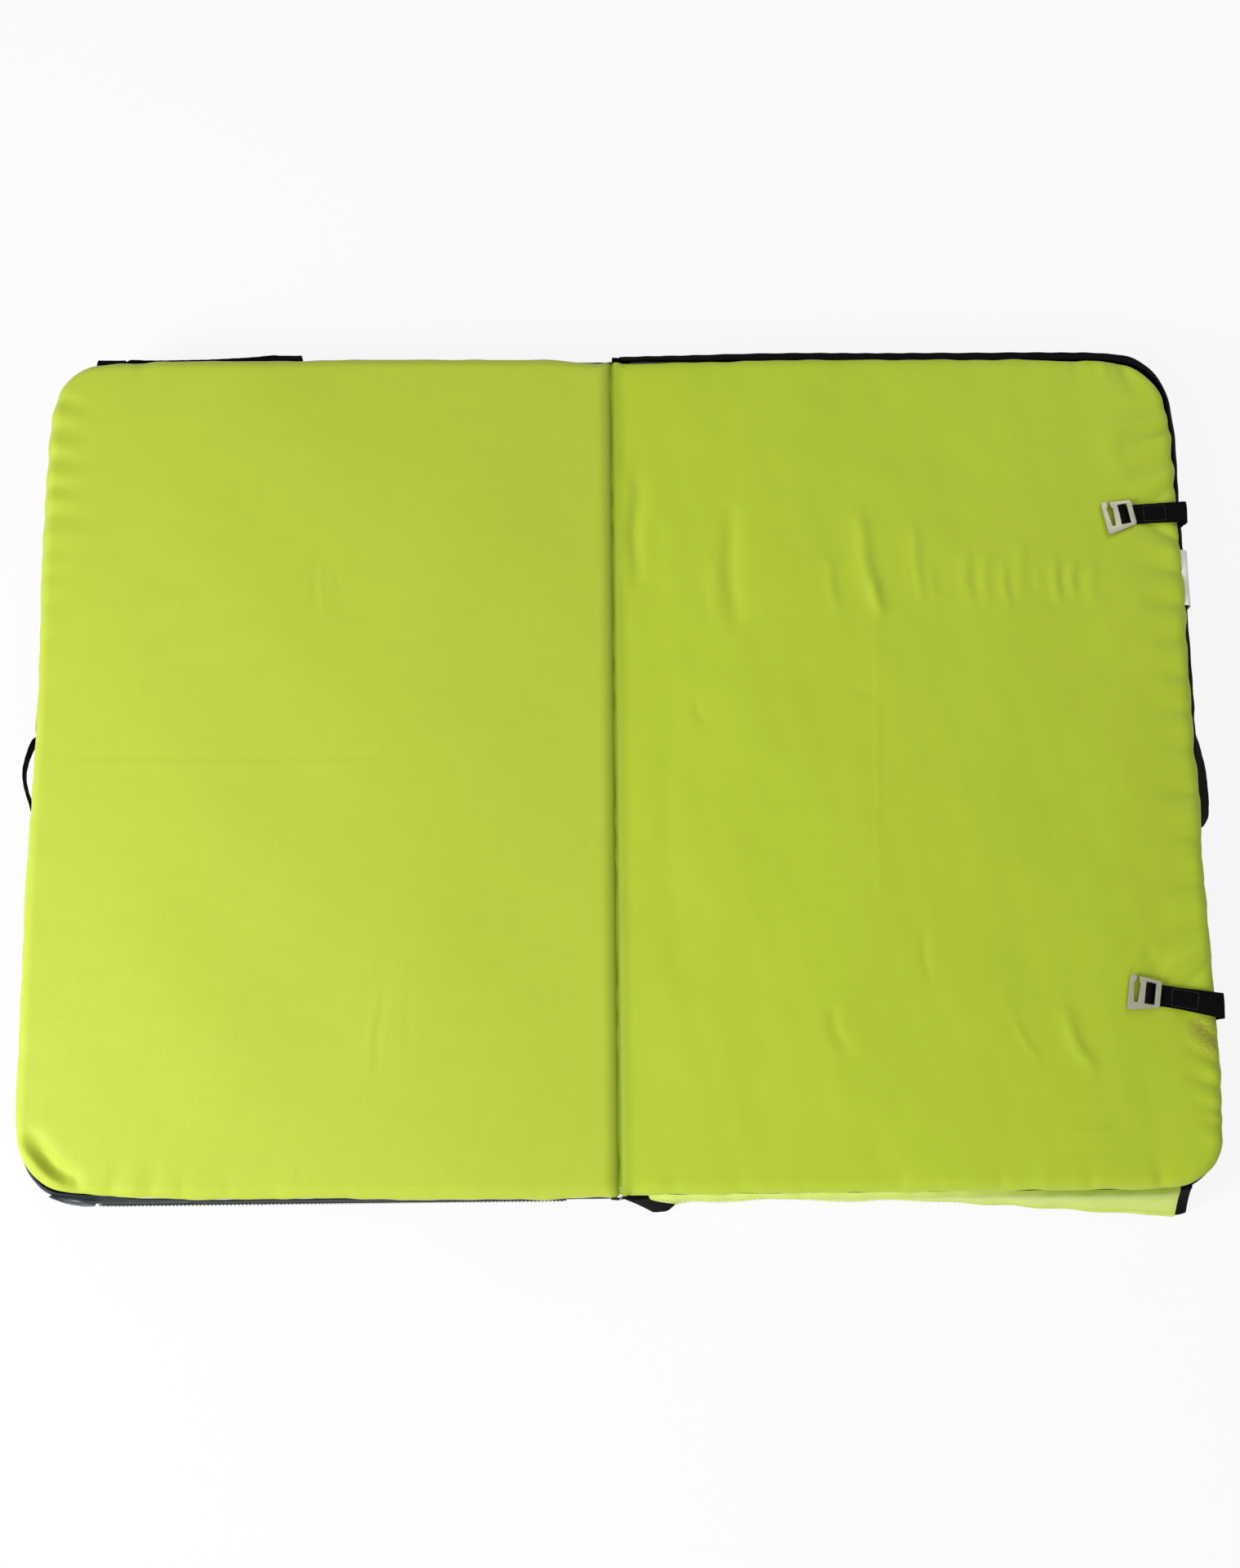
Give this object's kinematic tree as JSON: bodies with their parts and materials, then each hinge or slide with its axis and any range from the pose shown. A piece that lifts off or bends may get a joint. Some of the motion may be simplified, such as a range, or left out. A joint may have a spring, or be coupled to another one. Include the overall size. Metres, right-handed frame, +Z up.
{
  "type": "bouldering crash pad",
  "caption": "Folding bouldering crash pad lying open: lime landing face, dark side walls, metal closure hooks, hook-and-loop flap, webbing handles and a shoulder harness.",
  "frame": {"origin": "middle of the footprint, on the ground", "axes": "+Z up, +X across both halves towards the half with the closure straps, +Y along the fold away from the closing flap"},
  "size_m": [1.3998, 1.0396, 0.1098],
  "materials": {
    "lime_cloth": "tight lime nylon",
    "slate_cloth": "dark slate nylon with a low sheen",
    "black_cloth": "black nylon",
    "black_webbing": "black woven webbing",
    "closed_cell_foam": "grey closed-cell foam",
    "open_cell_foam": "pale open-cell foam",
    "hook_metal": "bare satin alloy",
    "tag_cloth": "blank pale woven tag",
    "buckle_plastic": "black acetal"
  },
  "bodies": {
    "left_half": {"left_landing_cover": "lime_cloth", "left_landing_foam": "closed_cell_foam", "left_foam_core": "open_cell_foam", "left_base_foam": "closed_cell_foam", "left_base_cover": "black_cloth", "left_side_wall": "slate_cloth", "left_foam_zip": "black_webbing", "left_zip_slider": "hook_metal", "fold_hinge_tape": "lime_cloth", "flap_catch_tape": "slate_cloth", "hook_loop_far": "black_webbing", "hook_loop_near": "black_webbing", "left_handle_sleeve_start": "black_webbing", "left_handle_sleeve_end": "black_webbing", "far_handle_sleeve_start": "black_webbing", "far_handle_sleeve_end": "black_webbing"},
    "right_half": {"right_landing_cover": "lime_cloth", "right_landing_foam": "closed_cell_foam", "right_foam_core": "open_cell_foam", "right_base_foam": "closed_cell_foam", "right_base_cover": "black_cloth", "right_side_wall": "black_cloth", "right_foam_zip": "black_webbing", "right_zip_slider": "hook_metal", "fold_hinge_sleeve": "lime_cloth", "wall_tag": "tag_cloth", "strap_patch_far": "black_webbing", "strap_patch_near": "black_webbing", "right_handle_sleeve_start": "black_webbing", "right_handle_sleeve_end": "black_webbing", "harness_yoke": "black_webbing", "shoulder_strap_fold_side": "black_cloth", "ladder_buckle_fold_side": "buckle_plastic", "webbing_tail_fold_side": "black_webbing", "tail_anchor_fold_side": "black_webbing", "shoulder_strap_outer_side": "black_cloth", "ladder_buckle_outer_side": "buckle_plastic", "webbing_tail_outer_side": "black_webbing", "tail_anchor_outer_side": "black_webbing"},
    "strap_far": {"closure_strap_far": "black_webbing"},
    "strap_near": {"closure_strap_near": "black_webbing"},
    "hook_far": {"closure_hook_far": "hook_metal", "strap_end_loop_far": "black_webbing"},
    "hook_near": {"closure_hook_near": "hook_metal", "strap_end_loop_near": "black_webbing"},
    "near_flap": {"closing_flap": "lime_cloth", "flap_binding_fold_end": "black_cloth", "flap_binding_outer_end": "black_cloth", "flap_hook_tape": "black_webbing"},
    "left_handle": {"left_handle": "black_webbing"},
    "right_handle": {"right_handle": "black_webbing"},
    "far_handle": {"far_handle": "black_webbing"}
  },
  "joints": [
    {"name": "fold", "type": "hinge", "parent": "left_half", "child": "right_half", "pos_m": [0, 0, 0.1], "axis": [0, -1, 0], "range_deg": [0, 174]},
    {"name": "strap_far_flip", "type": "hinge", "parent": "right_half", "child": "strap_far", "pos_m": [0.6805, 0.2979, 0.1012], "axis": [-0.0698, 0.9976, 0], "range_deg": [0, 185]},
    {"name": "hook_far_lift", "type": "hinge", "parent": "strap_far", "child": "hook_far", "pos_m": [0.61802, 0.29353, 0.10404], "axis": [-0.0698, 0.9976, 0], "range_deg": [0, 70]},
    {"name": "strap_near_flip", "type": "hinge", "parent": "right_half", "child": "strap_near", "pos_m": [0.6805, -0.2871, 0.1012], "axis": [0.165, 0.9863, 0], "range_deg": [0, 185]},
    {"name": "hook_near_lift", "type": "hinge", "parent": "strap_near", "child": "hook_near", "pos_m": [0.61005, -0.27531, 0.10444], "axis": [0.165, 0.9863, 0], "range_deg": [0, 70]},
    {"name": "near_flap_swing", "type": "hinge", "parent": "right_half", "child": "near_flap", "pos_m": [0.33925, -0.4934, 0.087], "axis": [-1, 0, 0], "range_deg": [0, 150]},
    {"name": "left_handle_swing", "type": "hinge", "parent": "left_half", "child": "left_handle", "pos_m": [-0.6808, -0.0101, 0.055], "axis": [0, 1, 0], "range_deg": [-45, 45]},
    {"name": "right_handle_swing", "type": "hinge", "parent": "right_half", "child": "right_handle", "pos_m": [0.6848, -0.0101, 0.055], "axis": [0, 1, 0], "range_deg": [-45, 45]},
    {"name": "far_handle_swing", "type": "hinge", "parent": "left_half", "child": "far_handle", "pos_m": [-0.494, 0.5057, 0.052], "axis": [1, 0, 0], "range_deg": [-45, 45]}
  ]
}
